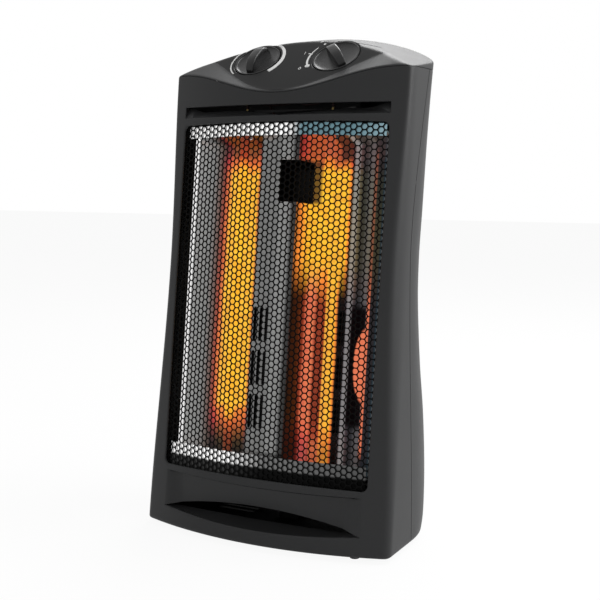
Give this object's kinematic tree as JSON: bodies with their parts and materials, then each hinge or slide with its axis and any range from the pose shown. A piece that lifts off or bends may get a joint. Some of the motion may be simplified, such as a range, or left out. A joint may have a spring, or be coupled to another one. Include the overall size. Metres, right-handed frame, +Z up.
{
  "type": "quartz tower heater",
  "caption": "Leaning quartz tower heater with a folded honeycomb grille, glowing tubes and dish knobs on a sloping panel.",
  "frame": {"origin": "middle of the footprint's bounding box, on the floor", "axes": "+Z up, the grille faces -Y and leans back by 7.5 degrees, +X to the right of someone facing the heater"},
  "size_m": [0.3238, 0.2322, 0.594],
  "materials": {
    "shell_plastic": "moulded charcoal ABS, satin",
    "panel_plastic": "moulded black ABS, satin",
    "knob_plastic": "moulded black ABS, satin",
    "black_steel": "black heat-proof paint on perforated steel",
    "bright_steel": "bright reflector sheet",
    "plain_steel": "zinc-plated steel",
    "quartz": "milky quartz glass",
    "glowing_wire": "resistance wire at a red to yellow heat",
    "ceramic": "white unglazed ceramic",
    "brass": "plain brass",
    "black_plastic": "black phenolic",
    "rubber": "black rubber",
    "red_lead": "silicone insulation",
    "white_lead": "silicone insulation"
  },
  "bodies": {
    "body": {"front_bezel": "shell_plastic", "rear_housing": "shell_plastic", "top_cap": "shell_plastic", "control_panel": "panel_plastic", "thermostat_body": "black_plastic", "thermostat_nut": "brass", "selector_body": "black_plastic", "selector_nut": "brass", "grille": "black_steel", "reflector_pan": "bright_steel", "reflector_top_plate": "bright_steel", "reflector_bottom_plate": "bright_steel", "heat_shield": "plain_steel", "upper_tube_bracket": "plain_steel", "lower_tube_bracket": "plain_steel", "thermal_cutoff": "black_plastic", "quartz_tube_left": "quartz", "quartz_tube_right": "quartz", "heating_coil_left": "glowing_wire", "heating_coil_right": "glowing_wire", "ceramic_cap_upper_left": "ceramic", "ceramic_cap_upper_right": "ceramic", "ceramic_cap_lower_left": "ceramic", "ceramic_cap_lower_right": "ceramic", "terminal_pin_upper_left": "brass", "terminal_pin_upper_right": "brass", "terminal_pin_lower_left": "brass", "terminal_pin_lower_right": "brass", "base_plate": "black_plastic", "rubber_foot_front_left": "rubber", "rubber_foot_front_right": "rubber", "rubber_foot_rear_left": "rubber", "rubber_foot_rear_right": "rubber", "base_screw_front_left": "plain_steel", "base_screw_front_right": "plain_steel", "base_screw_rear_left": "plain_steel", "base_screw_rear_right": "plain_steel", "housing_screw_lower_left": "plain_steel", "housing_screw_lower_right": "plain_steel", "housing_screw_upper_left": "plain_steel", "housing_screw_upper_right": "plain_steel", "tip_switch_body": "black_plastic", "cord_gland": "rubber", "terminal_block": "white_lead", "lead_selector_left": "red_lead", "lead_selector_right": "red_lead", "lead_thermostat_selector": "red_lead", "lead_cutoff_thermostat": "red_lead", "lead_block_cutoff": "red_lead", "lead_block_switch": "red_lead", "lead_switch_left": "white_lead", "lead_switch_right": "white_lead"},
    "thermostat_dial": {"thermostat_knob": "knob_plastic", "thermostat_shaft": "plain_steel"},
    "selector_dial": {"selector_knob": "knob_plastic", "selector_shaft": "plain_steel"},
    "tip_plunger": {"tip_switch_plunger": "black_plastic"}
  },
  "joints": [
    {"name": "thermostat_turn", "type": "hinge", "parent": "body", "child": "thermostat_dial", "pos_m": [-0.0523, -0.00001, 0.56354], "axis": [0, -0.6428, 0.766], "range_deg": [-129, 146]},
    {"name": "selector_turn", "type": "hinge", "parent": "body", "child": "selector_dial", "pos_m": [0.0523, -0.00001, 0.56354], "axis": [0, -0.6428, 0.766], "range_deg": [0, 79.5]},
    {"name": "tip_switch_slide", "type": "slide", "parent": "body", "child": "tip_plunger", "axis": [0, 0, -1], "range_m": [0, 0.006], "stiffness_N_per_m": 30, "springref_m": 0.01}
  ]
}
